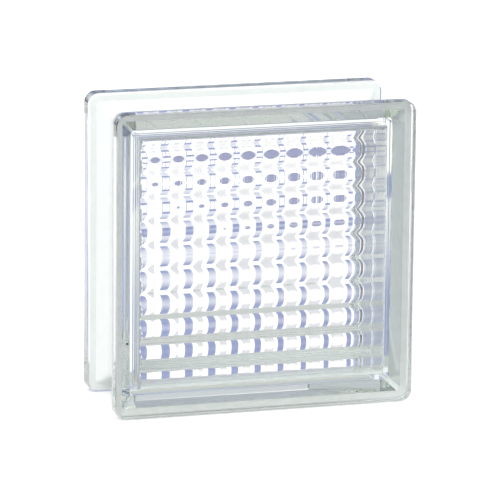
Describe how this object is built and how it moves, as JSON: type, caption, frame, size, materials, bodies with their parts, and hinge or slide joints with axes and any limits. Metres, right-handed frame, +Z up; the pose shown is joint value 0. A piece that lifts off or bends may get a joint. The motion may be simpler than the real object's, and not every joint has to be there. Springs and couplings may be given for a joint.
{
  "type": "glass block",
  "caption": "Square hollow block of clear pressed glass with crossing waves inside its two faces and a mortar channel round its edges, for walls that let light through.",
  "frame": {"origin": "the middle of the bottom edge that the block stands on", "axes": "+Z up, the front face with the level waves towards -Y, +X to the right as seen from the front"},
  "size_m": [0.19, 0.08, 0.19],
  "materials": {
    "clear_glass": "clear pressed glass, fire polished, with a faint green tint where it is thick"
  },
  "bodies": {
    "root": {"glass_block": "clear_glass"}
  },
  "joints": []
}
